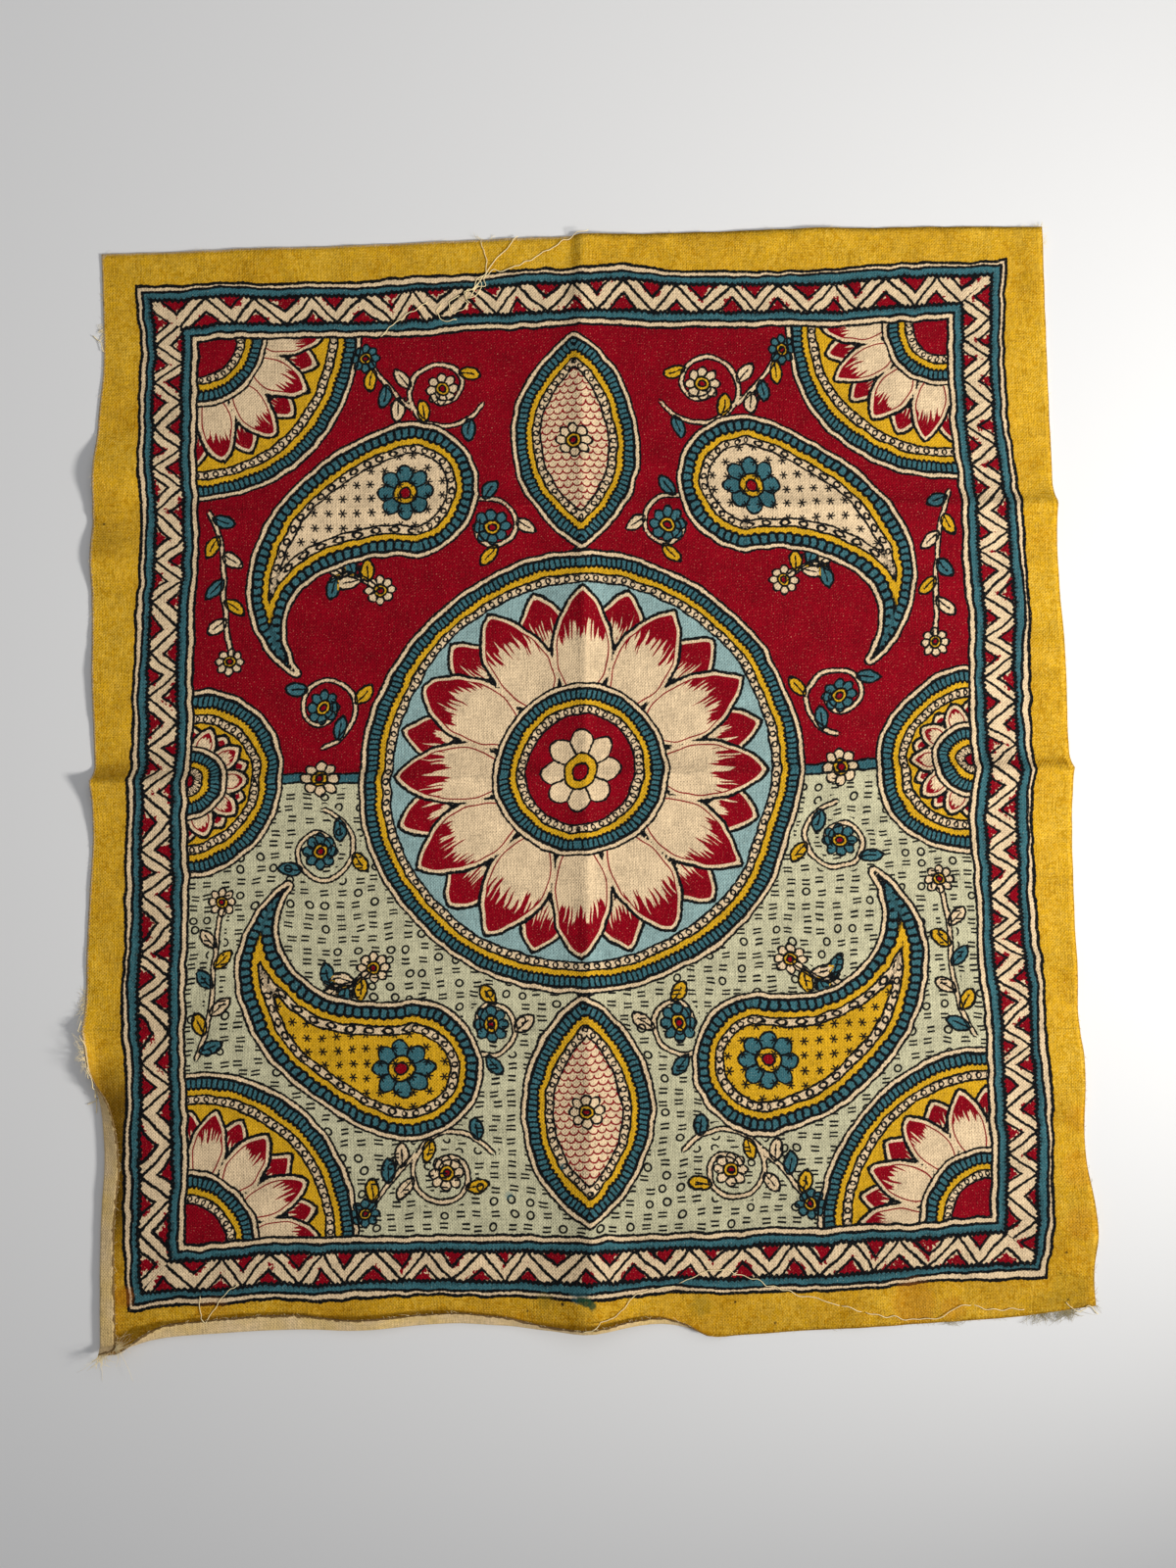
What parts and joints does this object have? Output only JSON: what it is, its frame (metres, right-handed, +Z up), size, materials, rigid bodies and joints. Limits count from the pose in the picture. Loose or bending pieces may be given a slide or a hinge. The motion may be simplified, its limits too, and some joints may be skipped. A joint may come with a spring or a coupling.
{
  "type": "kalamkari panel",
  "caption": "Hand-painted cotton panel: one cut sheet lying flat, with standing fold creases, margins turned over along one corner, a zigzag border and a plain margin.",
  "frame": {"origin": "middle of the sheet's base, on the surface that it lies on", "axes": "+X across the painted face to its right, +Y up its length, +Z up from the surface that it lies on, out of the painted face"},
  "size_m": [0.5164, 0.5774, 0.0123],
  "materials": {
    "painted_cotton": "matte, plain-woven unbleached cotton painted with vegetable dyes: mustard margin, cream, madder red, blue-green and black lines"
  },
  "bodies": {
    "root": {"panel_cloth": "painted_cotton"}
  },
  "joints": []
}
